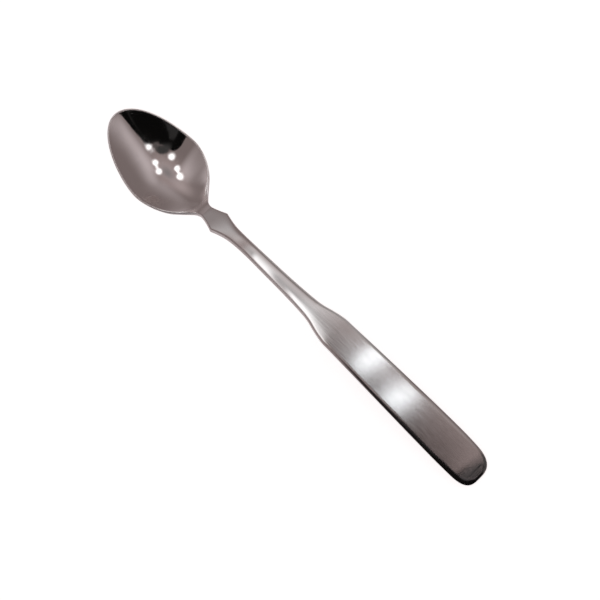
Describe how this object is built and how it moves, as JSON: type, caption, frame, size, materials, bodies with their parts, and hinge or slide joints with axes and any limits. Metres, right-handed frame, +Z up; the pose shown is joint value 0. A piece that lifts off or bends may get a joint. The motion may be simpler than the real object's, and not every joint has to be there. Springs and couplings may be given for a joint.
{
  "type": "iced tea spoon",
  "caption": "Long-handled stainless tea spoon: egg-shaped polished bowl, pinched neck with pointed shoulders, slender stem and flat satin handle with a rounded end.",
  "frame": {"origin": "bottom centre of the bounding box of the spoon at rest on a table, belly of the bowl and underside of the handle end at z = 0", "axes": "+X from the bowl tip to the handle end, +Z up out of the open bowl, +Y to the left when looking along +X"},
  "size_m": [0.184, 0.0302, 0.0163],
  "materials": {
    "polished_steel": "mirror polished stainless steel with fine hairline scratches",
    "satin_steel": "satin stainless steel brushed along the length, polished rounded edges"
  },
  "bodies": {
    "root": {"bowl": "polished_steel", "neck": "polished_steel", "stem": "polished_steel", "handle": "satin_steel"}
  },
  "joints": []
}
